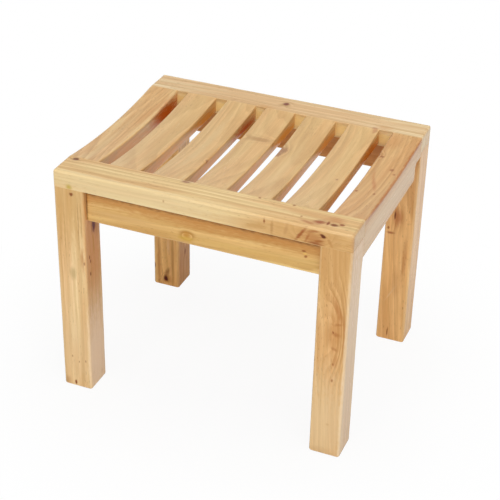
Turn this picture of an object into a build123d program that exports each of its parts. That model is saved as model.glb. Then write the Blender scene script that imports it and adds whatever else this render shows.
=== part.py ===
from build123d import *

import os

# Slatted wooden bath stool, in millimetres.
# X runs along the seat, Y from the front to the back, Z up.
# The origin is on the floor, under the middle of the seat.

# Overall size
stool_length = 400
stool_depth = 325
stool_height = 333

# Legs, straight posts whose outer faces are flush with the rails and end boards
leg_width = 41.5  # along X
leg_depth = 42.5  # along Y
leg_arris = 3

# Long rails, which lie flat on the leg tops at the front and the back
rail_depth = 43  # along Y
board_thickness = 23.5  # rails and slats are cut from one board
rail_arris = 2.5

# Slats, dished along their length where the sitter rests
slat_count = 5
slat_width = 43.5
dish_depth = 7.5
slat_top_arris = 3
slat_bottom_arris = 2

# End boards, dished like the slats but much deeper, with their ends against the legs
end_board_width = 41.5
end_board_height = 54
end_board_arris = 2.5

# The lower back corner of the right end board is cut away beside the leg, on its outside
relief_length = 24  # along Y, from the leg
relief_depth = 14  # along X, from the outer face
relief_lip = 4.5  # board left between the relief and the rail's underside
relief_radius = 7

# Aprons, which stand between the legs under the rails
apron_height = 45
apron_thickness = 15
apron_recess = 8  # from the legs' outer face
apron_arris = 1.5

# Glued mortise and tenon joints
leg_tenon_size = 22
leg_tenon_length = 16
slat_tenon_width = 30
slat_tenon_thickness = 8
slat_tenon_length = 16
apron_tenon_height = 30
apron_tenon_thickness = 7
apron_tenon_length = 20
end_tenon_height = 18
end_tenon_thickness = 10
end_tenon_length = 18
glue_gap = 0.15  # beside a tenon, on each side
mortise_end_gap = 0.5  # beyond a tenon's end

# Places that several pieces share
rail_underside = stool_height - board_thickness
rail_inner_y = stool_depth / 2 - rail_depth
leg_inner_x = stool_length / 2 - leg_width
leg_inner_y = stool_depth / 2 - leg_depth
leg_centre_x = stool_length / 2 - leg_width / 2
leg_centre_y = stool_depth / 2 - leg_depth / 2
board_middle_z = stool_height - board_thickness / 2
end_board_underside = stool_height - end_board_height
end_board_centre_x = stool_length / 2 - end_board_width / 2
end_board_drop = rail_underside - end_board_underside  # how far it hangs below the rails
end_tenon_z = end_board_underside + end_board_drop / 2
apron_outer_y = stool_depth / 2 - apron_recess
apron_centre_y = apron_outer_y - apron_thickness / 2
apron_centre_z = rail_underside - apron_height / 2
slatted_length = stool_length - 2 * end_board_width  # between the end boards
slat_gap = (slatted_length - slat_count * slat_width) / (slat_count + 1)
slat_pitch = slat_width + slat_gap

os.makedirs("parts", exist_ok=True)

# The leg at the front left corner, with its tenon on top
with BuildPart() as leg_front_left:
    with BuildSketch():
        with Locations((-leg_centre_x, -leg_centre_y)):
            Rectangle(leg_width, leg_depth)
    extrude(amount=rail_underside)
    foot_edges = leg_front_left.faces().sort_by(Axis.Z)[0].edges()
    fillet(leg_front_left.edges().filter_by(Axis.Z) + foot_edges, leg_arris)
    with BuildSketch(Plane.XY.offset(rail_underside)):
        with Locations((-leg_centre_x, -leg_centre_y)):
            Rectangle(leg_tenon_size, leg_tenon_size)
    extrude(amount=leg_tenon_length)
    # mortise for the apron's tenon, in the face towards the other front leg
    with BuildSketch(Plane.YZ.offset(-leg_inner_x)):
        with Locations((-apron_centre_y, apron_centre_z)):
            Rectangle(apron_tenon_thickness + 2 * glue_gap, apron_tenon_height + 2 * glue_gap)
    extrude(amount=-apron_tenon_length - mortise_end_gap, mode=Mode.SUBTRACT)
    # mortise for the end board's tenon, in the face towards the back leg
    with BuildSketch(Plane.XZ.offset(leg_inner_y)):
        with Locations((-end_board_centre_x, end_tenon_z)):
            Rectangle(end_tenon_thickness + 2 * glue_gap, end_tenon_height + 2 * glue_gap)
    extrude(amount=end_tenon_length + mortise_end_gap, mode=Mode.SUBTRACT)
leg_front_left.part.label = "leg_front_left"
export_step(leg_front_left.part, "parts/leg_front_left.step")

# The other three legs are its mirror images
with BuildPart() as leg_front_right:
    mirror(leg_front_left.part, about=Plane.YZ)
leg_front_right.part.label = "leg_front_right"
export_step(leg_front_right.part, "parts/leg_front_right.step")

with BuildPart() as leg_back_left:
    mirror(leg_front_left.part, about=Plane.XZ)
leg_back_left.part.label = "leg_back_left"
export_step(leg_back_left.part, "parts/leg_back_left.step")

with BuildPart() as leg_back_right:
    mirror(leg_back_left.part, about=Plane.YZ)
leg_back_right.part.label = "leg_back_right"
export_step(leg_back_right.part, "parts/leg_back_right.step")

# The front rail, with its outer edges eased and its inner edge square against the slats
with BuildPart() as rail_front:
    with BuildSketch(Plane.XY.offset(rail_underside)):
        with Locations((0, rail_depth / 2 - stool_depth / 2)):
            Rectangle(stool_length, rail_depth)
    extrude(amount=board_thickness)
    front_face = rail_front.faces().sort_by(Axis.Y)[0]
    front_corners = front_face.edges().filter_by(Axis.Z)
    top_front_edge = front_face.edges().sort_by(Axis.Z)[-1]
    end_top_edges = rail_front.edges().filter_by(Axis.Y).group_by(Axis.Z)[-1]
    fillet(front_corners + [top_front_edge] + end_top_edges, rail_arris)
    # mortises for the slats' tenons, in the inner edge
    with BuildSketch(Plane.XZ.offset(rail_inner_y)):
        with Locations((0, board_middle_z)):
            with GridLocations(slat_pitch, 1, slat_count, 1):
                Rectangle(slat_tenon_width + 2 * glue_gap, slat_tenon_thickness + 2 * glue_gap)
    extrude(amount=slat_tenon_length + mortise_end_gap, mode=Mode.SUBTRACT)
    # mortises for the leg tenons, in the underside
    with BuildSketch(Plane.XY.offset(rail_underside)):
        with Locations((0, -leg_centre_y)):
            with GridLocations(2 * leg_centre_x, 1, 2, 1):
                Rectangle(leg_tenon_size + 2 * glue_gap, leg_tenon_size + 2 * glue_gap)
    extrude(amount=leg_tenon_length + mortise_end_gap, mode=Mode.SUBTRACT)
rail_front.part.label = "rail_front"
export_step(rail_front.part, "parts/rail_front.step")

with BuildPart() as rail_back:
    mirror(rail_front.part, about=Plane.XZ)
rail_back.part.label = "rail_back"
export_step(rail_back.part, "parts/rail_back.step")

# The front apron: a board on edge between the front legs, with a tenon at each end
with BuildPart() as apron_front:
    with BuildSketch(Plane.XZ.offset(apron_outer_y)):
        with Locations((0, apron_centre_z)):
            Rectangle(2 * leg_inner_x, apron_height)
    extrude(amount=-apron_thickness)
    fillet(apron_front.edges().filter_by(Axis.X).group_by(Axis.Z)[0], apron_arris)
    with BuildSketch(Plane.YZ.offset(-leg_inner_x - apron_tenon_length)):
        with Locations((-apron_centre_y, apron_centre_z)):
            Rectangle(apron_tenon_thickness, apron_tenon_height)
    extrude(amount=2 * (leg_inner_x + apron_tenon_length))
apron_front.part.label = "apron_front"
export_step(apron_front.part, "parts/apron_front.step")

with BuildPart() as apron_back:
    mirror(apron_front.part, about=Plane.XZ)
apron_back.part.label = "apron_back"
export_step(apron_back.part, "parts/apron_back.step")

# The slats, each drawn from the side and dished along its top
for number in range(slat_count):
    slat_x = (number - (slat_count - 1) / 2) * slat_pitch
    with BuildPart() as slat:
        with BuildSketch(Plane.YZ.offset(slat_x - slat_width / 2)):
            with BuildLine():
                ThreePointArc(
                    (-rail_inner_y, stool_height),
                    (0, stool_height - dish_depth),
                    (rail_inner_y, stool_height),
                )
                Polyline(
                    (rail_inner_y, stool_height),
                    (rail_inner_y, rail_underside),
                    (-rail_inner_y, rail_underside),
                    (-rail_inner_y, stool_height),
                )
            make_face()
        extrude(amount=slat_width)
        fillet(slat.edges().filter_by(GeomType.CIRCLE), slat_top_arris)
        underside_edges = slat.faces().sort_by(Axis.Z)[0].edges().filter_by(Axis.Y)
        fillet(underside_edges, slat_bottom_arris)
        # a tenon on the front end, and its mirror image on the back end
        with BuildSketch(Plane.XZ.offset(rail_inner_y + slat_tenon_length)):
            with Locations((slat_x, board_middle_z)):
                Rectangle(slat_tenon_width, slat_tenon_thickness)
        extrude(amount=-slat_tenon_length)
        mirror(slat.part, about=Plane.XZ)
    slat.part.label = f"slat_{number + 1}"
    export_step(slat.part, f"parts/slat_{number + 1}.step")

# The left end board: dished on top, stepped at its ends to fit under the rails
with BuildPart() as end_board_left:
    with BuildSketch(Plane.YZ.offset(-stool_length / 2)):
        with BuildLine():
            ThreePointArc(
                (-rail_inner_y, stool_height),
                (0, stool_height - dish_depth),
                (rail_inner_y, stool_height),
            )
            Polyline(
                (rail_inner_y, stool_height),
                (rail_inner_y, rail_underside),
                (leg_inner_y, rail_underside),
                (leg_inner_y, end_board_underside),
                (-leg_inner_y, end_board_underside),
                (-leg_inner_y, rail_underside),
                (-rail_inner_y, rail_underside),
                (-rail_inner_y, stool_height),
            )
        make_face()
    extrude(amount=end_board_width)
    dished_edges = end_board_left.edges().filter_by(GeomType.CIRCLE)
    underside_edges = end_board_left.faces().sort_by(Axis.Z)[0].edges().filter_by(Axis.Y)
    fillet(dished_edges + underside_edges, end_board_arris)
    # a tenon for the front leg, and its mirror image for the back leg
    with BuildSketch(Plane.XZ.offset(leg_inner_y + end_tenon_length)):
        with Locations((-end_board_centre_x, end_tenon_z)):
            Rectangle(end_tenon_thickness, end_tenon_height)
    extrude(amount=-end_tenon_length)
    mirror(end_board_left.part, about=Plane.XZ)
end_board_left.part.label = "end_board_left"
export_step(end_board_left.part, "parts/end_board_left.step")

# The right end board is its mirror image with the relief cut beside the back leg
with BuildPart() as end_board_right:
    mirror(end_board_left.part, about=Plane.YZ)
    relief_top = rail_underside - relief_lip
    relief_start = leg_inner_y - relief_length
    with BuildSketch(Plane.YZ.offset(stool_length / 2)):
        with BuildLine():
            Line((leg_inner_y, end_board_underside), (leg_inner_y, relief_top))
            Line((leg_inner_y, relief_top), (relief_start + relief_radius, relief_top))
            RadiusArc(
                (relief_start + relief_radius, relief_top),
                (relief_start, relief_top - relief_radius),
                -relief_radius,
            )
            Line(
                (relief_start, relief_top - relief_radius),
                (relief_start, end_board_underside + relief_radius),
            )
            RadiusArc(
                (relief_start, end_board_underside + relief_radius),
                (relief_start - relief_radius, end_board_underside),
                relief_radius,
            )
            Line((relief_start - relief_radius, end_board_underside), (leg_inner_y, end_board_underside))
        make_face()
    extrude(amount=-relief_depth, mode=Mode.SUBTRACT)
end_board_right.part.label = "end_board_right"
export_step(end_board_right.part, "parts/end_board_right.step")
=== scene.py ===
import bpy
import bmesh
import math
from mathutils import Euler, Matrix, Vector, noise


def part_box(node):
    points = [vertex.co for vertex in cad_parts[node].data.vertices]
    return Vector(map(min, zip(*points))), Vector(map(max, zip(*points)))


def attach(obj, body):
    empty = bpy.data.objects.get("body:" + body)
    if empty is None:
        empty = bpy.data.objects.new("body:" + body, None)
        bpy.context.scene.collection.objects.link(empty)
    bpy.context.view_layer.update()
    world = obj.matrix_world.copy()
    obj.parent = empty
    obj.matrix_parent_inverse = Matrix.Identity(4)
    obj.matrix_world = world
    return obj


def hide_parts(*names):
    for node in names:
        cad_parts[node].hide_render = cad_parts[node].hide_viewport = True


# Slatted wooden bath stool. Sizes here are millimetres, and mm turns them into Blender's metres.
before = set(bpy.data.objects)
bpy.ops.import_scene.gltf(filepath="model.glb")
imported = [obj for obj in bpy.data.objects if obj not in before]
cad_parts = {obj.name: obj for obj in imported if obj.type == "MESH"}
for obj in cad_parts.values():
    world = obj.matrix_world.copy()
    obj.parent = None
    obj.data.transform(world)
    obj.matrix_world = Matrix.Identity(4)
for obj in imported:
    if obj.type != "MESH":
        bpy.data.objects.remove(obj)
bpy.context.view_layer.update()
mm = 0.001


def nodeBox(node):
    low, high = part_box(node)
    return low / mm, high / mm


# Places that several boards share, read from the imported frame
frontRailLow, frontRailHigh = nodeBox("rail_front")
frontLegHigh = nodeBox("leg_front_left")[1]
endBoardLow, endBoardHigh = nodeBox("end_board_left")
seatHeight = frontRailHigh.z
railUnderside = frontRailLow.z
endBoardUnderside = endBoardLow.z
railInnerY = -frontRailHigh.y
legInnerX = -frontLegHigh.x
legInnerY = -frontLegHigh.y

dish = {"depth": 7.5}
dish["radius"] = (railInnerY ** 2 + dish["depth"] ** 2) / (2 * dish["depth"])


def seatTop(y):
    # height of the dished seat at this distance from its middle, up to the rails
    arc = math.sqrt(dish["radius"] ** 2 - min(abs(y), railInnerY) ** 2)
    return seatHeight - (dish["depth"] - dish["radius"] + arc)


def linearColour(hexColour):
    # sRGB hex to the linear values that Blender's sockets take
    channels = []
    for start in (1, 3, 5):
        value = int(hexColour[start:start + 2], 16) / 255
        channels.append(value / 12.92 if value <= 0.04045 else ((value + 0.055) / 1.055) ** 2.4)
    return (*channels, 1.0)


def addNode(tree, kind, inputs=None, **settings):
    # a node with its settings; its inputs are values, or the sockets or nodes that feed them
    node = tree.nodes.new(kind)
    for setting, value in settings.items():
        setattr(node, setting, value)
    for socket, value in (inputs or {}).items():
        if isinstance(value, bpy.types.Node):
            value = next(output for output in value.outputs if output.enabled)
        if isinstance(value, bpy.types.NodeSocket):
            tree.links.new(value, node.inputs[socket])
        else:
            node.inputs[socket].default_value = value
    return node


def startGroup(name, kind, inputs, outputs):
    # a node group with its sockets, given as name: type
    tree = bpy.data.node_groups.new(name, kind)
    for sockets, way in ((inputs, "INPUT"), (outputs, "OUTPUT")):
        for socket, socketKind in sockets.items():
            tree.interface.new_socket(socket, in_out=way, socket_type="NodeSocket" + socketKind)
    return tree, addNode(tree, "NodeGroupInput").outputs


def emptyTree(owner):
    # the node tree of a new material or world, cleared
    owner.use_nodes = True
    owner.node_tree.nodes.clear()
    return owner.node_tree


def addObject(name, data):
    holder = bpy.data.objects.new(name, data)
    bpy.context.scene.collection.objects.link(holder)
    return holder


def makePlain(holder):
    # what an object's modifier makes of it becomes its own mesh
    made = bpy.data.meshes.new_from_object(holder.evaluated_get(bpy.context.evaluated_depsgraph_get()))
    holder.modifiers.clear()
    holder.data = made


# Solid timber, cut from a log: rings round the pith, fibres along it
timber = {
    # patterns drawn out along the grain: width and length in mm, detail, roughness
    "patterns": {
        "slow": (46, 240, 1.5, 0.5),          # the rings' wander along the log
        "fine": (11.5, 60, 2, 0.5),           # and a finer one across it
        "fibre": (1.7, 46, 3, 0.6),           # finer in real wood, drawn as coarse as it needs to show
        "streak": (5, 210, 3, 0.6),           # bands of warmer and paler wood
        "tick": (1.3, 7, 1.5, 0.5),           # resin ducts and small checks, drawn coarser too
        "tickPatch": (27.2, 102, 1, 0.5),     # where ticks gather
        "blush": (17, 190, 2.5, 0.5),         # broad warm patches
    },
    "fineReach": 2.2,                         # mm that the finer wander moves the rings
    "yearScale": 0.37, "yearReach": 2.4,      # good and bad years, so the rings are unevenly spaced
    "palestYear": 0.25,                       # its darkness as a share of the darkest year's
    "latewood": 0.86,                         # share of a year at which the dark line stands
    "patchShare": 0.28, "tickFrom": 0.79, "tickTo": 0.9,
    "blushFrom": 0.38, "blushTo": 0.62,
}


def makeTimberGroup():
    tree, given = startGroup(
        "timberFigure", "ShaderNodeTree",
        {"Point": "Vector", "Ring Width": "Float", "Swirl": "Float", "Knot Lift": "Float"},
        {"Rings": "Float", "Fibre": "Float", "Streak": "Float", "Ticks": "Float", "Blush": "Float",
         "Height": "Float"})
    patterns = {}
    for name, (width, length, detail, rough) in timber["patterns"].items():
        stretched = addNode(tree, "ShaderNodeVectorMath", {
            0: given["Point"], 1: (1 / width, 1 / width, 1 / length)}, operation="MULTIPLY")
        patterns[name] = addNode(tree, "ShaderNodeTexNoise", {
            "Vector": stretched, "Scale": 1.0, "Detail": detail, "Roughness": rough})

    wandered = given["Point"]
    for name, reach in (("slow", given["Swirl"]), ("fine", timber["fineReach"])):
        aside = addNode(tree, "ShaderNodeVectorMath", {
            0: patterns[name].outputs["Color"], 1: (0.5, 0.5, 0.5)}, operation="SUBTRACT")
        asideMm = addNode(tree, "ShaderNodeVectorMath", {0: aside, "Scale": reach}, operation="SCALE")
        wandered = addNode(tree, "ShaderNodeVectorMath", {0: wandered, 1: asideMm}, operation="ADD")
    flat = addNode(tree, "ShaderNodeVectorMath", {0: wandered, 1: (1, 1, 0)}, operation="MULTIPLY")
    fromPith = addNode(tree, "ShaderNodeVectorMath", {0: flat}, operation="LENGTH")
    lifted = addNode(tree, "ShaderNodeMath", {0: fromPith, 1: given["Knot Lift"]}, operation="ADD")
    ringCount = addNode(tree, "ShaderNodeMath", {0: lifted, 1: given["Ring Width"]}, operation="DIVIDE")
    uneven = addNode(tree, "ShaderNodeTexNoise", {
        "W": ringCount, "Scale": timber["yearScale"], "Detail": 1.0}, noise_dimensions="1D")
    phase = addNode(tree, "ShaderNodeMath", {0: uneven, 1: timber["yearReach"], 2: ringCount},
                    operation="MULTIPLY_ADD")
    share = addNode(tree, "ShaderNodeMath", {0: phase}, operation="FRACT")
    number = addNode(tree, "ShaderNodeMath", {0: phase}, operation="FLOOR")
    year = addNode(tree, "ShaderNodeTexWhiteNoise", {"W": number}, noise_dimensions="1D").outputs["Value"]
    yearDark = addNode(tree, "ShaderNodeMapRange", {"Value": year, "To Min": timber["palestYear"]})
    # pale earlywood that darkens slowly to a latewood line, then starts again
    growth = addNode(tree, "ShaderNodeMapRange", {"Value": share, "From Max": timber["latewood"]},
                     interpolation_type="SMOOTHSTEP")
    pause = addNode(tree, "ShaderNodeMapRange", {
        "Value": share, "From Min": timber["latewood"], "To Min": 1.0, "To Max": 0.0},
        interpolation_type="SMOOTHSTEP")
    line = addNode(tree, "ShaderNodeMath", {0: growth, 1: pause}, operation="MULTIPLY")
    rings = addNode(tree, "ShaderNodeMath", {0: line, 1: yearDark}, operation="MULTIPLY")

    tickField = addNode(tree, "ShaderNodeMath", {
        0: patterns["tickPatch"], 1: timber["patchShare"], 2: patterns["tick"]}, operation="MULTIPLY_ADD")
    ticks = addNode(tree, "ShaderNodeMapRange", {
        "Value": tickField, "From Min": timber["tickFrom"], "From Max": timber["tickTo"]})
    blush = addNode(tree, "ShaderNodeMapRange", {
        "Value": patterns["blush"], "From Min": timber["blushFrom"], "From Max": timber["blushTo"]},
        interpolation_type="SMOOTHSTEP")
    # planed and sanded: the hard latewood stands a hair proud, the ticks lie in
    proud = addNode(tree, "ShaderNodeMath", {0: rings, 1: patterns["fibre"]}, operation="ADD")
    face = addNode(tree, "ShaderNodeMath", {0: proud, 1: 0.5}, operation="MULTIPLY")
    height = addNode(tree, "ShaderNodeMath", {0: face, 1: ticks}, operation="SUBTRACT")
    addNode(tree, "NodeGroupOutput", {
        "Rings": rings, "Fibre": patterns["fibre"], "Streak": patterns["streak"], "Ticks": ticks,
        "Blush": blush, "Height": height})
    return tree


# Where a mark's parts are full and where they end, in its half sizes
markEdges = {"Stain": (0.2, 1.15), "Core": (0.32, 0.78), "Lift": (0.2, 2.4)}


def makeMarkGroup():
    # One mark of the wood, a stain, or a patch of painted light or shade, with or without a dark core, laid
    # over the colour so far. Distance is counted in the mark's half sizes.
    tree, given = startGroup(
        "woodMark", "ShaderNodeTree",
        {"Colour": "Color", "Distance": "Float", "Ragged": "Float", "Stain": "Color",
         "Stain Amount": "Float", "Core": "Color", "Core Amount": "Float"},
        {"Colour": "Color"})
    distance = addNode(tree, "ShaderNodeMath", {0: given["Distance"], 1: given["Ragged"]}, operation="ADD")
    colour = given["Colour"]
    for name in ("Stain", "Core"):
        full, none = markEdges[name]
        spread = addNode(tree, "ShaderNodeMapRange", {
            "Value": distance, "From Min": full, "From Max": none, "To Min": 1.0, "To Max": 0.0},
            interpolation_type="SMOOTHSTEP")
        amount = addNode(tree, "ShaderNodeMath", {0: spread, 1: given[name + " Amount"]},
                         operation="MULTIPLY")
        colour = addNode(tree, "ShaderNodeMix", {"Factor": amount, "A": colour, "B": given[name]},
                         data_type="RGBA")
    addNode(tree, "NodeGroupOutput", {"Colour": colour})
    return tree


timberFigure = makeTimberGroup()
woodMark = makeMarkGroup()

# Which way the log's axis lies, turned so that the pattern's Z runs along the grain
grainTurn = {"X": (0, -90, 0), "Y": (90, 0, 0), "Z": (0, 0, 0)}

knot = "#B8733C"    # the usual stain round a small knot

# What every board's wood has in common
woodLook = {
    "pale": "#E7B678", "dark": "#CE9657", "ringDark": 0.6, "ringWidth": 5.5, "swirl": 16,
    "slope": (0, 0, 0),
    "blush": "#D9A063", "blushAmount": 0.5, "tick": "#A0703C", "ticks": 0.5,
    # darker and paler streaks and fibres, which take blue out more than red, so that they look warm
    "streak": 0.13, "streakPowers": (0.6, 1.0, 1.7), "fibre": 0.09, "fibrePowers": (0.8, 1.0, 1.3),
    "shadeFrom": 0.3, "shadeTo": 0.7,
    "core": "#783200", "liftRings": 0.8,
    "ragged": 0.9, "raggedWidth": 2.2, "raggedLength": 9,    # the edges of stains follow the fibres
    # the arrises tinted paler: partly sanded-edge wear, partly a painted highlight along the rounded edges
    "arris": "#EBCB95", "arrisHighlightAmount": 0.25,
    "roughness": 0.26, "roughnessReach": 0.04, "specular": 0.3, "ior": 1.5,
    "bump": 0.2, "bumpHeight": 0.12,
}


def radiansOf(angles):
    return [math.radians(angle) for angle in angles]


def makeWood(name, grain, centre, board, marks, planks=False):
    # Solid cypress, planed, sanded and given a clear satin lacquer: pale honey wood with faint
    # tan rings and fine fibres, a soft sheen, and small red-brown pin knots and stains. Some marks
    # lay painted light and shade on faces, and the arrises get a paler painted highlight.
    look = {**woodLook, **board}
    material = bpy.data.materials.new(name)
    tree = emptyTree(material)
    place = addNode(tree, "ShaderNodeTexCoord").outputs["Object"]
    inMm = addNode(tree, "ShaderNodeVectorMath", {0: place, "Scale": 1 / mm}, operation="SCALE")
    turned = Euler(radiansOf(look["slope"])).to_matrix() @ Euler(radiansOf(grainTurn[grain])).to_matrix()
    shift = Vector(look["pith"]) - turned @ Vector(centre)
    logPoint = addNode(tree, "ShaderNodeMapping", {
        "Vector": inMm, "Location": shift, "Rotation": turned.to_euler()})
    if planks:
        # each slat is its own cut from the log
        cut = addNode(tree, "ShaderNodeAttribute", attribute_name="plankCut").outputs["Vector"]
        logPoint = addNode(tree, "ShaderNodeVectorMath", {0: logPoint, 1: cut}, operation="ADD")

    # how far each mark is, in its half sizes; the rings flow round knots, and show more strongly there
    distances = []
    lift, near = 0.0, 0.0
    for mark in marks:
        spot = addNode(tree, "ShaderNodeMapping", {
            "Vector": inMm, "Location": mark["at"], "Rotation": mark["turn"], "Scale": mark["size"]},
            vector_type="TEXTURE")
        distances.append(addNode(tree, "ShaderNodeVectorMath", {0: spot}, operation="LENGTH"))
        if "lift" in mark:
            full, none = markEdges["Lift"]
            spread = addNode(tree, "ShaderNodeMapRange", {
                "Value": distances[-1], "From Min": full, "From Max": none, "To Min": 1.0, "To Max": 0.0},
                interpolation_type="SMOOTHERSTEP")
            lift = addNode(tree, "ShaderNodeMath", {0: spread, 1: mark["lift"], 2: lift},
                           operation="MULTIPLY_ADD")
            near = addNode(tree, "ShaderNodeMath", {0: spread, 1: near}, operation="MAXIMUM")
    figure = addNode(tree, "ShaderNodeGroup", {
        "Point": logPoint, "Ring Width": look["ringWidth"], "Swirl": look["swirl"], "Knot Lift": lift},
        node_tree=timberFigure).outputs

    ringDark = addNode(tree, "ShaderNodeMath", {0: near, 1: look["liftRings"], 2: look["ringDark"]},
                       operation="MULTIPLY_ADD")
    ringShow = addNode(tree, "ShaderNodeMath", {0: figure["Rings"], 1: ringDark}, operation="MULTIPLY",
                       use_clamp=True)
    blushShow = addNode(tree, "ShaderNodeMath", {0: figure["Blush"], 1: look["blushAmount"]},
                        operation="MULTIPLY")
    colour = linearColour(look["pale"])
    for amount, over in ((blushShow, "blush"), (ringShow, "dark")):
        colour = addNode(tree, "ShaderNodeMix", {
            "Factor": amount, "A": colour, "B": linearColour(look[over])}, data_type="RGBA")
    for name in ("streak", "fibre"):
        reach = look[name]
        shade = addNode(tree, "ShaderNodeMapRange", {
            "Value": figure[name.capitalize()], "From Min": look["shadeFrom"], "From Max": look["shadeTo"],
            "To Min": 1 - reach, "To Max": 1 + reach})
        channels = {channel: addNode(tree, "ShaderNodeMath", {0: shade, 1: power}, operation="POWER")
                    for channel, power in enumerate(look[name + "Powers"])}
        shades = addNode(tree, "ShaderNodeCombineColor", channels)
        colour = addNode(tree, "ShaderNodeMix", {"Factor": 1.0, "A": colour, "B": shades},
                         data_type="RGBA", blend_type="MULTIPLY")
    tickShow = addNode(tree, "ShaderNodeMath", {0: figure["Ticks"], 1: look["ticks"]}, operation="MULTIPLY")
    colour = addNode(tree, "ShaderNodeMix", {
        "Factor": tickShow, "A": colour, "B": linearColour(look["tick"])}, data_type="RGBA")

    across, along = 1 / look["raggedWidth"], 1 / look["raggedLength"]
    stretched = addNode(tree, "ShaderNodeVectorMath", {0: logPoint, 1: (across, across, along)},
                        operation="MULTIPLY")
    raggedness = addNode(tree, "ShaderNodeTexNoise", {"Vector": stretched, "Scale": 1.0, "Detail": 2.0})
    ragged = addNode(tree, "ShaderNodeMapRange", {
        "Value": raggedness, "To Min": -look["ragged"] / 2, "To Max": look["ragged"] / 2})
    for mark, distance in zip(marks, distances):
        colour = addNode(tree, "ShaderNodeGroup", {
            "Colour": colour, "Distance": distance, "Ragged": ragged,
            "Stain": linearColour(mark["tint"]), "Stain Amount": mark["amount"],
            "Core": linearColour(mark["core"]), "Core Amount": mark["dark"]}, node_tree=woodMark)
    # painted highlight, partly edge wear: the arrises are mixed towards a paler colour
    edge = addNode(tree, "ShaderNodeAttribute", attribute_name="arris").outputs["Fac"]
    arrisHighlightShow = addNode(tree, "ShaderNodeMath", {0: edge, 1: look["arrisHighlightAmount"]}, operation="MULTIPLY")
    colour = addNode(tree, "ShaderNodeMix", {
        "Factor": arrisHighlightShow, "A": colour, "B": linearColour(look["arris"])}, data_type="RGBA")

    roughness = addNode(tree, "ShaderNodeMapRange", {
        "Value": figure["Fibre"], "To Min": look["roughness"] + look["roughnessReach"],
        "To Max": look["roughness"] - look["roughnessReach"]})
    bump = addNode(tree, "ShaderNodeBump", {
        "Height": figure["Height"], "Strength": look["bump"], "Distance": look["bumpHeight"] * mm})
    shader = addNode(tree, "ShaderNodeBsdfPrincipled", {
        "Base Color": colour, "Roughness": roughness, "Normal": bump, "IOR": look["ior"],
        "Specular IOR Level": look["specular"]})
    addNode(tree, "ShaderNodeOutputMaterial", {"Surface": shader})
    return material


def faceMarks(face, place, rows):
    # Marks on one face of a board, at its place, or on a dished face whose height place works out.
    # A row holds two places on the face and two half sizes along it, the depth into the board, the
    # tint (a stain, or painted light or shade), its amount, and what else applies: turn in degrees, dark
    # core, its colour, lift of the rings.
    axis = {"right": 0, "front": 1, "top": 2}[face]
    marks = []
    for first, second, halfFirst, halfSecond, depth, tint, amount, *more in rows:
        mark = {"at": [first, second], "size": [halfFirst, halfSecond], "turn": 0, "tint": tint,
                "amount": amount, "core": woodLook["core"], "dark": 0.0}
        mark.update(*more)
        mark["at"].insert(axis, place(second) if callable(place) else place)
        mark["size"].insert(axis, depth)
        mark["turn"] = [math.radians(mark["turn"]) if side == axis else 0 for side in range(3)]
        marks.append(mark)
    return marks


# Axes of a board: two across the grain, a and b, then the one along it
boardAxes = {"X": (1, 2, 0), "Y": (0, 2, 1), "Z": (0, 1, 2)}


def placeOf(a, b, t, grain):
    point = Vector()
    for axis, value in zip(boardAxes[grain], (a, b, t)):
        point[axis] = value
    return point


section = {
    "arcSteps": 4,
    "support": 0.8,       # mm between an arris and the row of points that keeps the flat face flat
    "step": 6,            # mm between points and between stations
    "waveSize": 70,       # mm, the faint unevenness of a hand-sanded face
    "waveHeight": 0.14,
    "waveShift": 31,      # between the waves of two directions
    "arrisWaveSize": 30,
    "arrisWaveShare": 0.14,
    "arrisWaveShift": 7,
    "capInset": 1.2,      # mm from the rim of an end to the face that closes it
    "stepHalf": 0.3,      # mm above and below the height at which an end steps in
}
allSides = (1, 1, 1, 1)


def wave(point, grain, seed):
    # Smooth unevenness, the same on every run. It is across the grain only, so that the feet and the
    # joints stay flat.
    uneven = Vector()
    for axis in boardAxes[grain][:2]:
        shift = Vector((seed, section["waveShift"] * axis, 0))
        uneven[axis] = noise.noise(point / section["waveSize"] + shift) * section["waveHeight"]
    return uneven


def sideMarks(start, end, breaks, counts):
    # places along one side of a section, with a support point near each arris
    way = 1 if end > start else -1
    posts = [start + way * section["support"], *breaks[::way], end - way * section["support"]]
    marks = [posts[0]]
    for first, last, count in zip(posts, posts[1:], counts[::way]):
        marks += [first + (last - first) * (i + 1) / count for i in range(count)]
    return marks


def sectionLoop(low, high, radii, countsA, countsB, breaksB):
    # a rounded rectangle as (a, b, arris weight) points, anticlockwise from the low, low corner
    inward = ((1, 1), (-1, 1), (-1, -1), (1, -1))
    corners = ((low[0], low[1]), (high[0], low[1]), (high[0], high[1]), (low[0], high[1]))
    arcs = []
    for quarter, (corner, radius) in enumerate(zip(corners, radii)):
        centreA = corner[0] + inward[quarter][0] * radius
        centreB = corner[1] + inward[quarter][1] * radius
        arc = []
        for step in range(section["arcSteps"] + 1):
            angle = math.radians(180 + 90 * quarter + 90 * step / section["arcSteps"])
            arc.append((centreA + radius * math.cos(angle), centreB + radius * math.sin(angle), 1.0))
        arcs.append(arc)
    loop = []
    for quarter in range(4):
        loop += arcs[quarter]
        begin, end = arcs[quarter][-1], arcs[(quarter + 1) % 4][0]
        if quarter % 2 == 0:
            loop += [(a, begin[1], 0.0) for a in sideMarks(begin[0], end[0], (), countsA)]
        else:
            loop += [(begin[0], b, 0.0) for b in sideMarks(begin[1], end[1], breaksB, countsB)]
    return loop


def closeShell(name, mesh, rings):
    # Faces between rings of points and over both ends, as an object. They get one winding, which is
    # turned round if the shell encloses less than nothing.
    for near, far in zip(rings, rings[1:]):
        for i in range(len(near)):
            j = (i + 1) % len(near)
            mesh.faces.new((near[i], near[j], far[j], far[i]))
    mesh.faces.new(rings[0][::-1])
    mesh.faces.new(rings[-1])
    bmesh.ops.recalc_face_normals(mesh, faces=mesh.faces)
    if mesh.calc_volume(signed=True) < 0:
        bmesh.ops.reverse_faces(mesh, faces=mesh.faces)
    data = bpy.data.meshes.new(name)
    mesh.to_mesh(data)
    mesh.free()
    return addObject(name, data)


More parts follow.
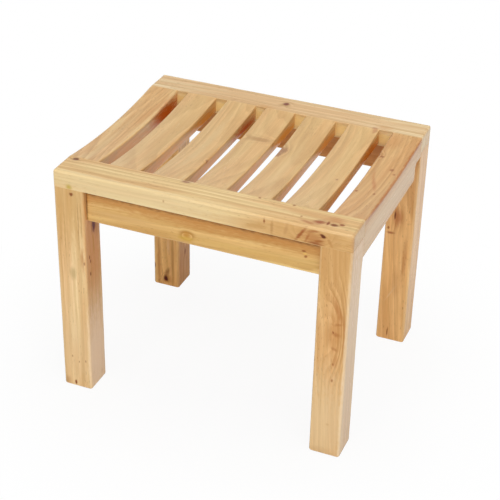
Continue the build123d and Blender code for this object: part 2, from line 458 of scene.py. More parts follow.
def endRounds(face, way, rounding, shares):
    # stations of a rounded end, from the flat end face inwards: (t, inset, shares)
    stations = []
    for i in range(section["arcSteps"] + 1):
        angle = math.radians(90 * i / section["arcSteps"])
        stations.append((face + way * rounding * (1 - math.sin(angle)), rounding * (1 - math.cos(angle)),
                         shares))
    return stations[::-1]


def makeBoard(name, node, piece, low, high, radii, ends, seed, top=None, step=None):
    # A board between two corners. radii(t) gives the four arrises at t along the grain, top(t) the
    # upper face where it isn't flat. ends holds, for each end, the rounding and the share of it that
    # each side gets: low a, high a, low b, high b.
    # step is (height, ratio): above that height the ends come in by that ratio.
    grain = piece["grain"]
    (lowA, lowB, start), (highA, highB, finish) = (
        [corner[axis] for axis in boardAxes[grain]] for corner in (low, high))
    breaks, ratio = (), 1
    if step:
        breaks, ratio = (step[0] - section["stepHalf"], step[0] + section["stepHalf"]), step[1]
    posts = [lowB, *breaks, highB]
    countsA = [round((highA - lowA) / section["step"])]
    countsB = [max(1, round((last - first) / section["step"])) for first, last in zip(posts, posts[1:])]

    inner = (start + ends[0][0] + section["support"], finish - ends[1][0] - section["support"])
    count = round((inner[1] - inner[0]) / section["step"])
    even = [(inner[0] + (inner[1] - inner[0]) * i / count, 0.0, allSides) for i in range(count + 1)]
    stations = [*endRounds(start, 1, *ends[0]), *even, *endRounds(finish, -1, *ends[1])[::-1]]

    mesh = bmesh.new()
    arrisLayer = mesh.verts.layers.float.new("arris")

    def addRing(t, inset, shares, capInset=0.0):
        insets = [inset * share + capInset for share in shares]
        topHere = top(t) if top else highB
        corners = []
        for number, radius in enumerate(radii(t)):
            shift = section["arrisWaveShift"] * number
            waver = noise.noise(Vector((t / section["arrisWaveSize"], shift, seed)))
            corners.append(radius * (1 + section["arrisWaveShare"] * waver))
        ring = []
        for a, b, weight in sectionLoop((lowA + insets[0], lowB + insets[2]),
                                        (highA - insets[1], topHere - insets[3]),
                                        corners, countsA, countsB, breaks):
            point = placeOf(a, b, t * ratio if step and b > step[0] else t, grain)
            vertex = mesh.verts.new((point + wave(point, grain, seed)) * mm)
            vertex[arrisLayer] = weight
            ring.append(vertex)
        return ring

    rings = [addRing(*stations[0], section["capInset"])]
    rings += [addRing(*station) for station in stations]
    rings.append(addRing(*stations[-1], section["capInset"]))
    board = closeShell(name, mesh, rings)
    board.data.shade_smooth()

    boxLow, boxHigh = nodeBox(node)
    places = {"right": boxHigh.x, "front": boxLow.y, "top": top or boxHigh.z}
    marks = []
    for (owner, face), rows in piece["marks"].items():
        if owner == node:
            marks += faceMarks(face, places[face], rows)
    board.data.materials.append(makeWood("lacqueredCypress_" + node, grain, (boxLow + boxHigh) / 2,
                                         piece["boards"][node], marks))
    return board


def finishPiece(holder, nodes):
    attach(holder, "root")
    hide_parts(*nodes)


# Legs: straight posts with well-rounded feet
leg = {
    "grain": "Z", "seed": 0, "arris": 2.8, "footRound": 3.4, "seamArris": 0.35,
    "fadeLength": 14,    # mm over which an arris runs out where a board meets the leg
    "boards": {
        "leg_front_left": {"pale": "#EFD09B", "dark": "#C99C5F", "pith": (38, 70, 0),
                           "slope": (1.2, 0.6, 0)},
        "leg_front_right": {"pale": "#E3B87C", "dark": "#C08C50", "pith": (-52, 30, 900),
                            "slope": (-2, 3, 0)},
        "leg_back_left": {"pale": "#F8C67C", "dark": "#CD924F", "pith": (30, -60, 1700),
                          "slope": (2, -2.5, 0)},
        "leg_back_right": {"pale": "#F4C382", "dark": "#C88F53", "pith": (-60, -34, 2600),
                           "slope": (-1.5, 4, 0), "ringDark": 0.35, "swirl": 30},
    },
    "marks": {
        ("leg_front_left", "front"): (
            (-180, 305, 60, 100, 12, "#CC9F5C", 0.6), (-180, 60, 60, 80, 12, "#E6CA9C", 0.35),
            (-175, 303, 4.5, 4, 3, "#B07E44", 0.6, {"dark": 0.8}), (-163, 209, 3, 24, 4, "#B5712F", 0.6),
            (-161, 203, 1.8, 4.5, 4, knot, 0.5, {"dark": 0.85}), (-178, 185, 7, 13, 5, "#A58850", 0.45),
            (-167, 258, 1.2, 45, 4, "#A26F35", 0.5), (-162.5, 268, 1, 40, 4, "#A26F35", 0.4),
            (-187, 250, 1.5, 60, 4, "#B88A48", 0.4), (-186, 50, 1.6, 3, 3, knot, 0.3, {"dark": 0.35}),
            (-176, 43, 1.4, 3, 3, knot, 0.3, {"dark": 0.4}),
            (-166, 46, 1.4, 3, 3, knot, 0.3, {"dark": 0.35}),
            (-182.5, 7, 2.6, 5, 4, knot, 0.6, {"dark": 0.9}), (-195, 8, 6, 9, 6, "#A06A3A", 0.45),
        ),
        ("leg_front_left", "right"): (
            # painted shade, darker orange, on the inner face under the seat, and a painted reflection, pale
            # pinkish, on its lower part
            (-141, 225, 40, 110, 4, "#D98A44", 0.6), (-141, 50, 50, 110, 4, "#FBDDBC", 0.85),
            (-138, 249, 7, 14, 4, "#98481A", 0.85, {"dark": 1.0, "core": "#6A1A00", "lift": 5}),
            (-152, 208, 2.2, 4, 3, knot, 0.6, {"dark": 0.8}),
            (-150, 201, 2.2, 4, 3, knot, 0.6, {"dark": 0.7}),
            (-151, 182, 2.6, 4.5, 3, knot, 0.6, {"dark": 0.75}), (-140, 224, 3, 24, 3, "#C58A35", 0.6),
        ),
        ("leg_front_right", "front"): (
            (179, 305, 60, 80, 12, "#C89656", 0.6), (176, 45, 60, 110, 12, "#E3C79A", 0.6),
            (186, 196, 11, 42, 9, "#C2823F", 0.5, {"lift": 13}),
            (187, 225, 4.5, 26, 4, "#B26F30", 0.55, {"turn": -20}),
            (186, 190, 7, 4, 4, "#A8632B", 0.6, {"turn": 12}),
            (188, 205, 7, 2.5, 4, "#A8632B", 0.5, {"turn": -16}),
            (184, 168, 6, 3, 4, "#A8632B", 0.5, {"turn": 20}), (187, 150, 5, 12, 4, "#BC7B3C", 0.45),
            (182, 192, 2, 3.5, 3, knot, 0.5, {"dark": 0.6}),
            (184, 145, 2, 3.5, 3, knot, 0.5, {"dark": 0.4}),
            (184, 120, 2, 3.5, 3, knot, 0.5, {"dark": 0.35}), (196, 185, 2, 60, 4, "#B67A3E", 0.4),
            (182, 50, 3, 2.5, 3, "#C99B68", 0.5), (171, 120, 1.3, 70, 4, "#C1935A", 0.4),
            (177, 4, 24, 9, 8, "#C9A372", 0.45),
        ),
        ("leg_front_right", "right"): (
            # painted reflection: a pale pinkish sheen over the outer face
            (-141, 130, 80, 300, 4, "#F6E0C4", 0.55),
        ),
        ("leg_back_left", "front"): (
            (-192, 40, 3, 60, 4, "#A9642F", 0.45), (-176, 72, 3, 18, 4, "#E6BE90", 0.5),
            (-169, 50, 2.5, 60, 4, "#98622F", 0.4), (-178, 24, 4.5, 13, 4, "#8A5124", 0.7, {"turn": 20}),
            (-180.5, 12.5, 5.5, 7, 5, "#8A4A1E", 0.8, {"dark": 1.0, "core": "#541800", "lift": 6}),
            (-199, 34, 3, 8, 4, knot, 0.6, {"dark": 0.8}),
        ),
        ("leg_back_left", "right"): (
            # the second row is painted shade: the inner face under the seat made darker and redder
            (143, 54, 5, 7, 3, knot, 0.6, {"dark": 0.8, "lift": 3}), (141, 30, 40, 90, 4, "#C88248", 0.6),
        ),
        ("leg_back_right", "front"): (
            (177, 206, 8, 17, 5, "#B0602C", 0.6, {"lift": 4}),
            (172, 208, 2.4, 10, 3, knot, 0.6, {"dark": 0.95, "core": "#662800"}),
            (168, 179.5, 7, 2.6, 4, "#9C4E22", 0.8), (164, 187, 2.4, 3.4, 3, knot, 0.6, {"dark": 0.6}),
            (190.5, 140, 4, 42, 4, "#B06A34", 0.5), (176, 83, 1.4, 21, 4, "#EBC797", 0.5, {"turn": 28}),
            (181, 100, 9, 34, 4, "#B5773F", 0.3), (175, 15, 1.4, 11, 3, knot, 0.5, {"dark": 0.7}),
        ),
    },
}


def makeLeg(node, seed):
    low, high = nodeBox(node)
    outerX, innerY = (low.x if low.x < 0 else high.x), (high.y if low.y < 0 else low.y)
    boardBottom = relief["top"] if node == "leg_back_right" else endBoardUnderside
    corners = ((low.x, low.y), (high.x, low.y), (high.x, high.y), (low.x, high.y))

    def radii(z):
        # the arris that is flush with the end board's outer face runs out below that board
        share = min(1, max(0, (boardBottom - z) / leg["fadeLength"]))
        faded = leg["seamArris"] + (leg["arris"] - leg["seamArris"]) * share
        return [faded if corner == (outerX, innerY) else leg["arris"] for corner in corners]

    post = makeBoard(node + "_post", node, leg, low, (high.x, high.y, railUnderside), radii,
                     ((leg["footRound"], allSides), (leg["seamArris"], allSides)), seed)
    finishPiece(post, [node])


# Long rails, which lie flat on the leg tops
rail = {
    "grain": "X", "seed": 10, "topArris": 2.6, "underArris": 0.8, "seamArris": 0.3, "endRound": 2.4,
    "boards": {
        "rail_front": {"pale": "#EBCD92", "dark": "#C49A60", "pith": (-30, 60, 300), "slope": (0, 1.5, 0)},
        "rail_back": {"pale": "#ECD09E", "dark": "#C79E66", "pith": (-45, -50, 3100), "slope": (0, -1, 0)},
    },
    "marks": {
        ("rail_front", "front"): (
            (-90, 321, 190, 40, 9, "#E8D2A2", 0.6), (145, 318, 105, 40, 9, "#CC9A58", 0.65),
            (-178, 313, 6, 5, 5, "#BFA23C", 0.8), (-46, 323, 2, 3, 3, knot, 0.3, {"dark": 0.25}),
            (87, 327, 2, 6, 4, knot, 0.5, {"dark": 0.6}), (97, 320, 2.6, 14, 4, "#AD7B42", 0.5),
            (75, 318, 20, 5, 4, "#C0904F", 0.5, {"turn": -12}),
            (115, 322, 3, 14, 4, "#B98750", 0.4, {"turn": 12}),
            (150, 318, 18, 10, 7, "#AE6A30", 0.6, {"lift": 14}),
            (134, 321, 2.8, 15, 5, "#964608", 0.85, {"turn": 34}),
            (142, 317, 2.4, 9, 5, "#A0561C", 0.6, {"turn": 24}),
            (157, 316, 7, 1.8, 5, "#98500F", 0.7, {"turn": -12}),
            (171, 317, 2.4, 9, 5, "#B07434", 0.5, {"turn": -30}), (152, 312, 12, 2.6, 5, "#8E4A1C", 0.75),
            (148, 327, 12, 2.6, 5, "#A25A26", 0.65, {"turn": -14}),
            (162, 324, 6, 3.2, 5, knot, 0.7, {"turn": 20, "dark": 1.0, "core": "#622A00", "lift": 4}),
            (178, 320, 9, 14, 5, "#C99A60", 0.4),
        ),
        ("rail_front", "top"): (
            (152, -147, 11, 7, 4, "#98461A", 0.85, {"turn": 24}),
            (138, -153, 14, 4, 4, "#A85E2C", 0.6, {"turn": -14}),
            (162, -146, 3, 7, 4, knot, 0.8, {"dark": 0.9}),
            (170, -147, 7, 4.5, 4, "#8A5A28", 0.8, {"dark": 0.75}),
            (178.5, -143, 5, 4, 4, knot, 0.7, {"dark": 0.75}), (168, -136, 15, 10, 4, "#B87238", 0.6),
            (-60, -135, 60, 6, 4, "#EBCB92", 0.5), (40, -150, 50, 5, 4, "#CFA168", 0.45),
            (130, -135, 50, 8, 4, "#CE9C62", 0.5), (-150, -150, 40, 5, 4, "#CDA368", 0.4),
            (-187, -125, 6, 5.4, 4, "#A5744A", 0.7, {"dark": 0.9, "core": "#6E3A14", "lift": 4}),
            (-34, -122, 8, 5, 5, "#A5745A", 0.7, {"dark": 0.35}),
            (110, -122, 2.8, 2.6, 4, knot, 0.5, {"dark": 0.5}),
            (65, -122, 2.8, 2.6, 4, knot, 0.5, {"dark": 0.5}),
            (127, -143, 2.4, 2.4, 4, knot, 0.4, {"dark": 0.4}),
        ),
        ("rail_front", "right"): (
            (-141, 320, 60, 30, 4, "#C29468", 0.6),
        ),
        ("rail_back", "front"): (
            # painted light: a bright band along the inner face, where light falls through the gaps between
            # the slats
            (0, 320, 600, 12, 2.5, "#FFDC90", 0.95),
        ),
        ("rail_back", "top"): (
            (-2.5, 142, 6.5, 7, 5, "#A06A3C", 0.8, {"dark": 1.0, "lift": 5}),
            (133, 120, 5, 6, 4, "#A2552C", 0.6), (-25, 122, 15, 7, 4, "#D2964C", 0.45),
            (145, 127, 15, 9, 4, "#CE9250", 0.45),
        ),
    },
}


def makeRail(node, seed):
    low, high = nodeBox(node)
    isFront = low.y < 0
    seam = rail["seamArris"]

    def radii(x):
        under = rail["underArris"] if abs(x) < legInnerX else seam
        return (under, seam, seam, rail["topArris"]) if isFront else (seam, under, rail["topArris"], seam)

    seamShare = seam / rail["endRound"]
    shares = (1, seamShare, seamShare, 1) if isFront else (seamShare, 1, seamShare, 1)
    ends = ((rail["endRound"], shares),) * 2
    board = makeBoard(node + "_board", node, rail, low, high, radii, ends, seed)
    finishPiece(board, [node])


# Aprons, which stand on edge between the legs
apron = {
    "grain": "X", "seed": 20, "arris": 1.5, "seamArris": 0.4,
    "boards": {
        "apron_front": {"pale": "#EBC780", "dark": "#B98540", "blush": "#CE954F", "pith": (20, 80, 0),
                        "slope": (0, 2, 0)},
        "apron_back": {"pale": "#EBC780", "dark": "#B98540", "blush": "#CE954F", "pith": (-20, 60, 2200),
                       "slope": (0, -1, 0)},
    },
    "marks": {
        ("apron_front", "front"): (
            # painted shade under the rail's overhang: the first row a darker band, the second a dark
            # contact line
            (0, 304, 900, 19, 6, "#BE7C34", 0.75), (0, 309.5, 900, 8.6, 5, "#4A2004", 0.9),
            # the first row here is painted shade beside the left leg, over its dark joint
            (-158.5, 287, 3, 40, 6, "#5E3618", 0.7), (60, 274, 120, 6, 5, "#DCB266", 0.6),
            (-100, 280, 60, 7, 5, "#D9AE72", 0.5), (-20, 272, 13, 4.5, 5, "#C79C34", 0.7),
            (-18, 278, 7, 5, 5, "#BE8228", 0.8, {"lift": 5}),
            (136, 293, 5, 2.2, 4, knot, 0.5, {"dark": 0.6}), (139, 286, 3, 3, 4, knot, 0.5, {"dark": 0.6}),
            (138, 289.5, 3, 2.2, 4, "#E8BE62", 0.7),
        ),
        ("apron_back", "front"): (
            # painted shade: the face under the seat made darker and redder all over
            (0, 290, 900, 70, 3, "#C4742C", 0.75),
        ),
    },
}


def makeApron(node, seed):
    low, high = nodeBox(node)
    low.x, high.x = -legInnerX, legInnerX
    seam = apron["seamArris"]
    board = makeBoard(node + "_board", node, apron, low, high,
                      lambda x: (apron["arris"], apron["arris"], seam, seam), ((seam, allSides),) * 2, seed)
    finishPiece(board, [node])


# End boards: dished like the slats, but much deeper
endBoard = {
    "grain": "Y", "seed": 30, "arris": 2.4, "seamArris": 0.3,
    "boards": {
        "end_board_left": {"pale": "#E4C086", "dark": "#BA8A52", "pith": (24, 62, 400), "slope": (0, 1, 0)},
        "end_board_right": {"pale": "#DAAE73", "dark": "#B57E45", "pith": (-30, 70, 1500),
                            "slope": (1, -2, 0), "arrisHighlightAmount": 0.0},
    },
    "marks": {
        ("end_board_left", "right"): (
            # painted shade and light on the face beside the first gap: the far half darker and redder, the
            # near half a brighter orange
            (80, 312, 62, 22, 3.5, "#C45600", 1.0), (-60, 306, 120, 26, 3.5, "#EAA55C", 0.9),
        ),
        ("end_board_left", "top"): (
            (-168, 35, 8, 40, 6, "#CC9152", 0.5), (-164, 70, 6, 40, 6, "#C78A4C", 0.4),
        ),
        ("end_board_right", "top"): (
            (159, 60, 5, 6, 5, knot, 0.5, {"dark": 0.5, "lift": 8}),
            (165, 57, 4, 4.4, 5, knot, 0.5, {"dark": 0.5}), (187, 28, 4, 5, 5, knot, 0.5, {"dark": 0.45}),
            (193, 18, 3, 4, 5, knot, 0.5, {"dark": 0.4}), (163, -44, 3, 4.4, 5, knot, 0.5, {"dark": 0.5}),
            (186, -43, 2.6, 4.4, 5, knot, 0.5, {"dark": 0.4}),
            (178, -18, 3.4, 24, 5, "#B5652F", 0.5, {"turn": 20}),
            (170, 5, 3, 20, 5, "#C0783E", 0.4, {"turn": 12}), (170, 100, 14, 26, 6, "#C98D52", 0.4),
        ),
        ("end_board_right", "right"): (
            # the second row is a painted reflection: a pale pinkish sheen over the outer face
            (0, 329, 160, 8, 3.5, "#A8560C", 0.95), (0, 300, 300, 26, 3, "#EBCFA6", 0.5),
        ),
    },
}

# The lower back corner of the right end board is cut away beside the leg
relief = {"length": 24, "depth": 14, "radius": 7, "lip": 4.5, "overcut": 4, "steps": 8, "crease": 35}
relief["top"] = railUnderside - relief["lip"]


def makeReliefCutter():
    # the outline of what is cut away, from the side, then drawn out along X
    start = legInnerY - relief["length"]
    radius, top, over = relief["radius"], relief["top"], relief["overcut"]
    bottom = endBoardUnderside
    turns = [math.radians(90 * i / relief["steps"]) for i in range(relief["steps"] + 1)]
    outline = [(legInnerY + over, bottom - over), (legInnerY + over, top)]
    outline += [(start + radius * (1 - math.sin(turn)), top - radius * (1 - math.cos(turn)))
                for turn in turns]
    outline += [(start - radius * (1 - math.cos(turn)), bottom + radius * (1 - math.sin(turn)))
                for turn in turns]
    outline.append((start - radius, bottom - over))
    mesh = bmesh.new()
    reach = (-endBoardLow.x - relief["depth"], -endBoardLow.x + over)
    rings = [[mesh.verts.new(Vector((x, y, z)) * mm) for y, z in outline] for x in reach]
    return closeShell("reliefCutter", mesh, rings)


def makeEndBoard(node, seed):
    low, high = nodeBox(node)
    low.y, high.y = -legInnerY, legInnerY
    ratio = railInnerY / legInnerY    # the dished part ends at the rails, the part below at the legs
    board = makeBoard(node + "_board", node, endBoard, low, high, lambda y: (endBoard["arris"],) * 4,
                      ((endBoard["seamArris"], allSides),) * 2, seed,
                      top=lambda y: seatTop(y * ratio), step=(railUnderside, ratio))
    if low.x > 0:
        cutter = makeReliefCutter()
        cut = board.modifiers.new("relief", "BOOLEAN")
        cut.operation = "DIFFERENCE"
        cut.solver = "EXACT"
        cut.object = cutter
        makePlain(board)
        bpy.data.objects.remove(cutter)
        board.data.set_sharp_from_angle(angle=math.radians(relief["crease"]))
    finishPiece(board, [node])


# Seat slats, by Geometry Nodes: one rounded section along the seat, dished, then repeated
slats = {
    "Count": 5, "Top Arris": 3.0, "Bottom Arris": 2.0, "Arris Steps": 4,
    "Row Shift": -1.9, "Unevenness": 1.6,    # mm, as a row set by eye
    "Rings": 44, "Seed": 5374,
    "arrisAngle": 0.1,                       # radians between faces, above which an edge is in an arris
    "cutFrom": (-26, -20, 0), "cutTo": (26, 24, 4000),    # mm in the log
    "board": {"pale": "#DAB275", "dark": "#B58547", "pith": (0, 60, 0)},
    "marks": (
        (-38.5, -47, 3.4, 5, 5, knot, 0.6, {"dark": 0.9, "lift": 4}),
        (5, 38, 18, 7, 6, "#A06628", 0.6, {"lift": 6}),
        (39, 22, 7.5, 12, 7, "#92441A", 0.85, {"dark": 0.55, "lift": 8}),
        (38, 9, 5, 9, 7, "#92441A", 0.75, {"dark": 0.5}), (135, 115, 5, 8, 6, "#A85A30", 0.7),
        (131, -25, 2.6, 4, 5, knot, 0.5, {"dark": 0.5}), (-60, 0, 8, 160, 6, "#E0C48E", 0.5),
        (60, -40, 8, 110, 6, "#E0C088", 0.4), (-110, 60, 8, 50, 6, "#CE9E62", 0.35),
    ),
    # the sides that face the right: painted light on their near half, and painted shade, darker and redder,
    # on their far half of the seat
    "nearLightPatch": (-60, 313.5, 120, 15, 4, "#EDA24E", 0.9),
    "farShadePatch": (80, 313.5, 62, 15, 4), "farShadeAmount": 0.95,
    "farHalfShades": ("#DE8E34", "#B43E00", "#EC9C3E", "#F09C46", "#E0801E"),
}


def makeSlats():
    slatLow, slatHigh = nodeBox("slat_1")
    width = slatHigh.x - slatLow.x
    slattedLength = 2 * abs(endBoardHigh.x)
    gap = (slattedLength - slats["Count"] * width) / (slats["Count"] + 1)
    seatMiddle = (seatHeight + railUnderside) / 2
    lengths = {
        "Width": width, "Thickness": seatHeight - railUnderside, "Length": 2 * railInnerY,
        "Middle Height": seatMiddle, "Pitch": width + gap, "Dish Depth": dish["depth"],
        "Dish Radius": dish["radius"],
        **{name: slats[name] for name in ("Top Arris", "Bottom Arris", "Row Shift", "Unevenness")},
    }
    counts = {name: slats[name] for name in ("Count", "Arris Steps", "Rings", "Seed")}
    tree, given = startGroup("seatSlats", "GeometryNodeTree", {
        **{name: "Float" for name in lengths}, **{name: "Int" for name in counts}, "Wood": "Material"},
        {"Geometry": "Geometry"})
    identifiers = {item.name: item.identifier for item in tree.interface.items_tree
                   if item.in_out == "INPUT"}

    # the section, with its arrises rounded before it is drawn along the slat
    outline = addNode(tree, "GeometryNodeCurvePrimitiveQuadrilateral", {
        "Width": given["Width"], "Height": given["Thickness"]})
    position = addNode(tree, "GeometryNodeInputPosition")
    place = addNode(tree, "ShaderNodeSeparateXYZ", {"Vector": position}).outputs
    isTop = addNode(tree, "FunctionNodeCompare", {0: place["Y"], 1: 0.0}, operation="GREATER_THAN")
    arris = addNode(tree, "GeometryNodeSwitch", {
        "Switch": isTop, "False": given["Bottom Arris"], "True": given["Top Arris"]}, input_type="FLOAT")
    rounded = addNode(tree, "GeometryNodeFilletCurve", {
        "Curve": outline, "Radius": arris, "Count": given["Arris Steps"]}, mode="POLY")
    startY = addNode(tree, "ShaderNodeMath", {0: given["Length"], 1: -0.5}, operation="MULTIPLY")
    start = addNode(tree, "ShaderNodeCombineXYZ", {"Y": startY})
    line = addNode(tree, "GeometryNodeCurvePrimitiveLine", {
        "Start": start, "Direction": (0, 1, 0), "Length": given["Length"]}, mode="DIRECTION")
    rings = addNode(tree, "GeometryNodeResampleCurve", {"Curve": line, "Count": given["Rings"]})
    swept = addNode(tree, "GeometryNodeCurveToMesh", {
        "Curve": rings, "Profile Curve": rounded, "Fill Caps": True})
    # the dish: the upper half goes down by the arc, the lower half stays
    reach = addNode(tree, "ShaderNodeMath", {0: place["Y"], 1: place["Y"]}, operation="MULTIPLY")
    square = addNode(tree, "ShaderNodeMath", {0: given["Dish Radius"], 1: given["Dish Radius"]},
                     operation="MULTIPLY")
    rise = addNode(tree, "ShaderNodeMath", {0: square, 1: reach}, operation="SUBTRACT")
    arc = addNode(tree, "ShaderNodeMath", {0: rise}, operation="SQRT")
    ends = addNode(tree, "ShaderNodeMath", {0: given["Dish Radius"], 1: given["Dish Depth"]},
                   operation="SUBTRACT")
    drop = addNode(tree, "ShaderNodeMath", {0: ends, 1: arc}, operation="SUBTRACT")
    isUpper = addNode(tree, "FunctionNodeCompare", {0: place["Z"], 1: 0.0}, operation="GREATER_THAN")
    lower = addNode(tree, "ShaderNodeCombineXYZ", {"Z": drop})
    dished = addNode(tree, "GeometryNodeSetPosition", {
        "Geometry": swept, "Selection": isUpper, "Offset": lower})
    smooth = addNode(tree, "GeometryNodeSetShadeSmooth", {"Geometry": dished})
    angle = addNode(tree, "GeometryNodeInputMeshEdgeAngle").outputs["Unsigned Angle"]
    isArris = addNode(tree, "FunctionNodeCompare", {0: angle, 1: slats["arrisAngle"]},
                      operation="GREATER_THAN")
    marked = addNode(tree, "GeometryNodeStoreNamedAttribute", {
        "Geometry": smooth, "Name": "arris", "Value": isArris}, data_type="FLOAT", domain="POINT")
    # the row of slats, set by eye: all of them a little to the left, and each a little off its place
    steps = addNode(tree, "ShaderNodeMath", {0: given["Count"], 1: 1.0}, operation="SUBTRACT")
    rowLength = addNode(tree, "ShaderNodeMath", {0: steps, 1: given["Pitch"]}, operation="MULTIPLY")
    firstX = addNode(tree, "ShaderNodeMath", {0: rowLength, 1: -0.5, 2: given["Row Shift"]},
                     operation="MULTIPLY_ADD")
    firstPlace = addNode(tree, "ShaderNodeCombineXYZ", {"X": firstX, "Z": given["Middle Height"]})
    stepAlong = addNode(tree, "ShaderNodeCombineXYZ", {"X": given["Pitch"]})
    row = addNode(tree, "GeometryNodeMeshLine", {
        "Count": given["Count"], "Start Location": firstPlace, "Offset": stepAlong})
    least = addNode(tree, "ShaderNodeMath", {0: given["Unevenness"], 1: -1.0}, operation="MULTIPLY")
    astray = addNode(tree, "FunctionNodeRandomValue", {
        2: least, 3: given["Unevenness"], "Seed": given["Seed"]}, data_type="FLOAT")
    aside = addNode(tree, "ShaderNodeCombineXYZ", {"X": astray})
    points = addNode(tree, "GeometryNodeSetPosition", {"Geometry": row, "Offset": aside})
    placed = addNode(tree, "GeometryNodeInstanceOnPoints", {"Points": points, "Instance": marked})
    # each slat's own cut from the log: its place in the row taken out, a random one put in
    chance = addNode(tree, "FunctionNodeRandomValue", {
        "Min": slats["cutFrom"], "Max": slats["cutTo"], "Seed": given["Seed"]}, data_type="FLOAT_VECTOR")
    backX = addNode(tree, "ShaderNodeMath", {0: place["X"], 1: -1 / mm}, operation="MULTIPLY")
    centred = addNode(tree, "ShaderNodeCombineXYZ", {"X": backX})
    cut = addNode(tree, "ShaderNodeVectorMath", {0: chance, 1: centred}, operation="ADD")
    stored = addNode(tree, "GeometryNodeStoreNamedAttribute", {
        "Geometry": placed, "Name": "plankCut", "Value": cut}, data_type="FLOAT_VECTOR", domain="INSTANCE")
    real = addNode(tree, "GeometryNodeRealizeInstances", {"Geometry": stored})
    painted = addNode(tree, "GeometryNodeSetMaterial", {"Geometry": real, "Material": given["Wood"]})
    addNode(tree, "NodeGroupOutput", {"Geometry": painted})

    marks = faceMarks("top", seatTop, slats["marks"])
    # painted light and shade on each slat's right side, one darker colour per slat for the far half
    for number, tint in enumerate(slats["farHalfShades"]):
        right = (number - (slats["Count"] - 1) / 2) * (width + gap) + width / 2 + slats["Row Shift"]
        farShadePatch = (*slats["farShadePatch"], tint, slats["farShadeAmount"])
        marks += faceMarks("right", right, (slats["nearLightPatch"], farShadePatch))
    wood = makeWood("lacqueredCypress_slats", "Y", (0, 0, seatMiddle), slats["board"], marks, planks=True)
    holder = addObject("seatSlats", bpy.data.meshes.new("seatSlatsStart"))
    modifier = holder.modifiers.new("slats", "NODES")
    modifier.node_group = tree
    values = {**{name: length * mm for name, length in lengths.items()}, **counts, "Wood": wood}
    for name, value in values.items():
        modifier[identifiers[name]] = value
    makePlain(holder)
    finishPiece(holder, [f"slat_{number + 1}" for number in range(slats["Count"])])


for name, piece, makePiece in (
        ("legs", leg, makeLeg), ("rails", rail, makeRail), ("aprons", apron, makeApron),
        ("end boards", endBoard, makeEndBoard)):
    for number, node in enumerate(piece["boards"]):
        makePiece(node, piece["seed"] + number)
    print(name, "made")
makeSlats()
print("slats made")


# Floor: white to the camera with a faint soft shadow left in it, and plain lit paint in the sheen
# of the wood, which darkens where the stool shades the floor
studio = {
    "floorSize": 12000, "floorPaint": "#F4F4F4", "floorShadow": 0.08,
    "sweepFrom": 230, "sweepTo": 480,    # mm from the middle, between which the floor turns white
    "surround": 0.15,
}


def makeFloor():
    # white painted studio board, matt
    material = bpy.data.materials.new("mattWhitePaint")
    tree = emptyTree(material)
    paint = addNode(tree, "ShaderNodeBsdfDiffuse", {"Color": linearColour(studio["floorPaint"])})
    glow = addNode(tree, "ShaderNodeEmission", {"Color": (1, 1, 1, 1), "Strength": 1.0})
    # 1 for the camera, and for reflections away from the stool, where the paper sweep is lit white
    path = addNode(tree, "ShaderNodeLightPath").outputs
    place = addNode(tree, "ShaderNodeTexCoord").outputs["Object"]
    away = addNode(tree, "ShaderNodeVectorMath", {0: place}, operation="LENGTH")
    sweep = addNode(tree, "ShaderNodeMapRange", {
        "Value": away, "From Min": studio["sweepFrom"] * mm, "From Max": studio["sweepTo"] * mm},
        interpolation_type="SMOOTHSTEP")
    seenWhite = addNode(tree, "ShaderNodeMapRange", {"Value": sweep, "To Min": 1 - studio["floorShadow"]})
    sheenWhite = addNode(tree, "ShaderNodeMath", {0: path["Is Glossy Ray"], 1: sweep}, operation="MULTIPLY")
    white = addNode(tree, "ShaderNodeMath", {0: path["Is Camera Ray"], 1: seenWhite, 2: sheenWhite},
                    operation="MULTIPLY_ADD")
    mixed = addNode(tree, "ShaderNodeMixShader", {0: white, 1: paint, 2: glow})
    addNode(tree, "ShaderNodeOutputMaterial", {"Surface": mixed})
    half = studio["floorSize"] / 2 * mm
    data = bpy.data.meshes.new("floor")
    data.from_pydata([(-half, -half, 0), (half, -half, 0), (half, half, 0), (-half, half, 0)], [],
                     [(0, 1, 2, 3)])
    data.materials.append(material)
    addObject("floor", data)


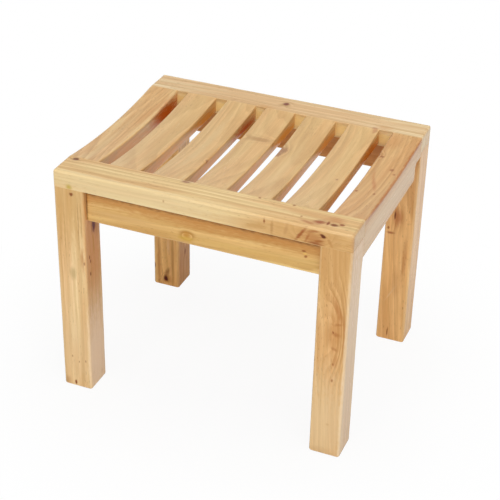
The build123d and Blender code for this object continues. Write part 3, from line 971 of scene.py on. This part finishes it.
def makeWorld():
    # white where it is looked at or mirrored, and dimmer as a light
    world = bpy.data.worlds.new("studio")
    bpy.context.scene.world = world
    tree = emptyTree(world)
    path = addNode(tree, "ShaderNodeLightPath").outputs
    seen = path["Is Camera Ray"]
    for ray in ("Is Glossy Ray", "Is Transmission Ray"):
        seen = addNode(tree, "ShaderNodeMath", {0: seen, 1: path[ray]}, operation="MAXIMUM")
    level = addNode(tree, "ShaderNodeMapRange", {"Value": seen, "To Min": studio["surround"]})
    light = addNode(tree, "ShaderNodeBackground", {"Color": (1, 1, 1, 1), "Strength": level})
    addNode(tree, "ShaderNodeOutputWorld", {"Surface": light})


lampAim = (0, 0, 200)
lamps = {
    "overhead": {"at": (0, 0, 2600), "size": 1400, "power": 32},
    "frontRight": {"at": (1700, -1700, 2200), "size": 1400, "power": 24},
    "front": {"at": (-300, -2800, 700), "size": 1400, "power": 30},
    "right": {"at": (2600, -100, 1100), "size": 1400, "power": 11},
}


def makeLamp(name, lamp):
    light = bpy.data.lights.new(name, "AREA")
    light.shape = "SQUARE"
    light.size = lamp["size"] * mm
    light.energy = lamp["power"]
    holder = addObject(name, light)
    holder.location = Vector(lamp["at"]) * mm
    holder.rotation_euler = (holder.location - Vector(lampAim) * mm).to_track_quat("Z", "Y").to_euler()


# Camera, at the usual angle for this stool: from the front, a little from the right and above
view = {
    "azimuth": 21.68, "elevation": 31.16, "roll": 1.42,    # degrees
    "distance": 1875, "lookAt": (2.6, 6.6, 172.2),         # mm
    "lens": 98.6, "sensor": 36,                            # mm
}


def makeCamera():
    azimuth, elevation = math.radians(view["azimuth"]), math.radians(view["elevation"])
    away = Vector((math.sin(azimuth) * math.cos(elevation), -math.cos(azimuth) * math.cos(elevation),
                   math.sin(elevation)))
    data = bpy.data.cameras.new("camera")
    data.lens = view["lens"]
    data.sensor_width = view["sensor"]
    camera = addObject("camera", data)
    camera.location = (Vector(view["lookAt"]) + away * view["distance"]) * mm
    upright = away.to_track_quat("Z", "Y").to_matrix()
    camera.rotation_euler = (upright @ Matrix.Rotation(math.radians(view["roll"]), 3, "Z")).to_euler()
    bpy.context.scene.camera = camera


makeFloor()
makeWorld()
for name, lamp in lamps.items():
    makeLamp(name, lamp)
makeCamera()
bpy.context.scene.view_settings.view_transform = "Standard"
print("floor, lamps and camera made")
